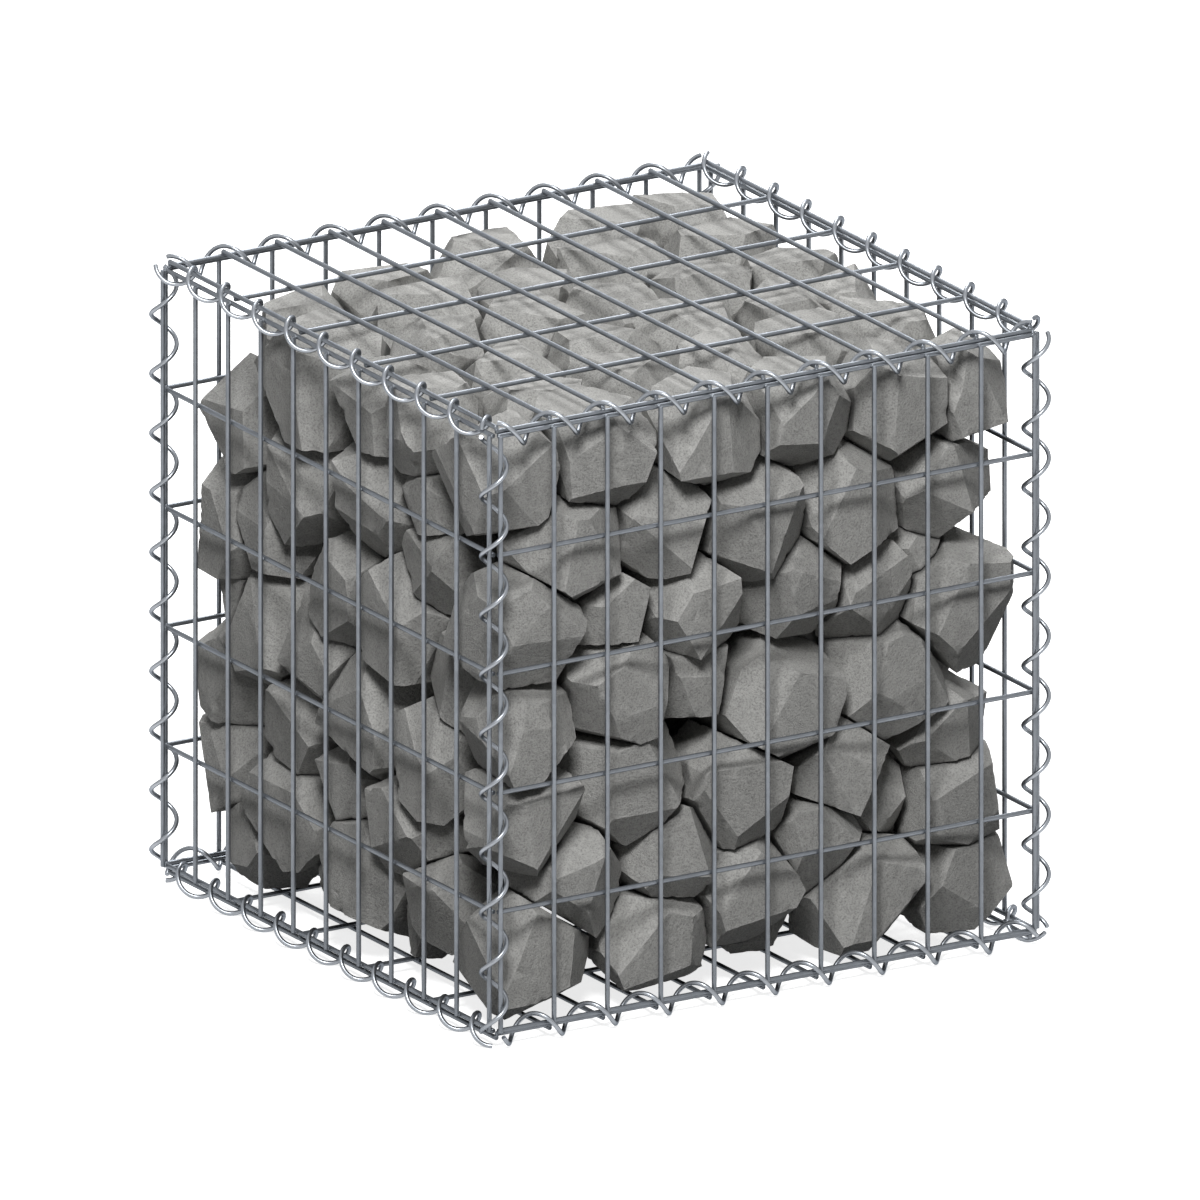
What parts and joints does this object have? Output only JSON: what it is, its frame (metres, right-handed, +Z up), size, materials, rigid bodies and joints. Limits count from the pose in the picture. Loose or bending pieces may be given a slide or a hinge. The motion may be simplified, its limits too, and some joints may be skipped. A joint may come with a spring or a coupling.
{
  "type": "stone-filled gabion basket",
  "caption": "Cube gabion wall unit: welded wire mesh basket laced along its edges with spiral wires and filled with broken stone.",
  "frame": {"origin": "centre of the footprint, on the level that the basket stands on", "axes": "+Z up, the front panel faces -Y, +X runs along the front panel to the right"},
  "size_m": [0.5329, 0.5295, 0.5296],
  "materials": {
    "mesh_wire": "drawn steel wire, zinc coated, grey with a soft shine",
    "spiral_wire": "drawn steel wire, zinc coated, a little brighter than the mesh",
    "stone": "broken grey stone with flat rough faces and worn edges"
  },
  "bodies": {
    "root": {"front_panel": "mesh_wire", "back_panel": "mesh_wire", "left_panel": "mesh_wire", "right_panel": "mesh_wire", "base_panel": "mesh_wire", "lid_panel": "mesh_wire", "front_top_spiral": "spiral_wire", "back_top_spiral": "spiral_wire", "front_bottom_spiral": "spiral_wire", "back_bottom_spiral": "spiral_wire", "left_top_spiral": "spiral_wire", "right_top_spiral": "spiral_wire", "left_bottom_spiral": "spiral_wire", "right_bottom_spiral": "spiral_wire", "front_left_spiral": "spiral_wire", "front_right_spiral": "spiral_wire", "back_left_spiral": "spiral_wire", "back_right_spiral": "spiral_wire", "stone_course_1": "stone", "stone_course_2": "stone", "stone_course_3": "stone", "stone_course_4": "stone", "stone_course_5": "stone", "stone_course_6": "stone"}
  },
  "joints": []
}
